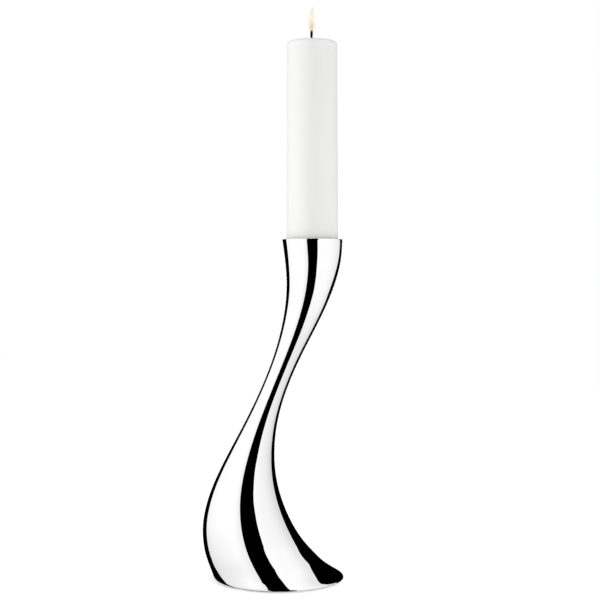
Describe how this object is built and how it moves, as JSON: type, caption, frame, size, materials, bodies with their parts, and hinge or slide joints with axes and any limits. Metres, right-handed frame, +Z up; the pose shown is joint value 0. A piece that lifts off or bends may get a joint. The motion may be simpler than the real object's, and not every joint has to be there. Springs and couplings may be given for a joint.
{
  "type": "candlestick",
  "caption": "Mirror-polished steel candlestick with a leaning S-curved body that flares to a round weighted foot, holding a white pillar candle in a shallow cup.",
  "frame": {"origin": "middle of the round foot, on the surface that the candlestick stands on", "axes": "+Z up along the candle, +X from the middle of the foot towards the cup, +Y across the plane that the body leans in"},
  "size_m": [0.1662, 0.1518, 0.6478],
  "materials": {
    "polished_steel": "polished",
    "zinc_steel": "satin",
    "screw_steel": "satin",
    "cast_iron": "matte",
    "felt": "matte",
    "white_wax": "satin",
    "charred_cotton": "matte",
    "flame": null
  },
  "bodies": {
    "holder": {"foot_shell": "polished_steel", "waist_shell": "polished_steel", "neck_shell": "polished_steel", "candle_cup": "polished_steel", "base_ring": "zinc_steel", "base_plate": "zinc_steel", "base_screw_1": "screw_steel", "base_screw_2": "screw_steel", "base_screw_3": "screw_steel", "base_screw_4": "screw_steel", "ballast_weight": "cast_iron", "ballast_bolt": "screw_steel", "ballast_washer": "screw_steel", "ballast_nut": "screw_steel", "foot_pad": "felt"},
    "candle": {"candle": "white_wax", "wick": "charred_cotton"}
  },
  "joints": [
    {"name": "candle_lift", "type": "slide", "parent": "holder", "child": "candle", "axis": [0, 0, 1], "range_m": [0, 0.06]}
  ]
}
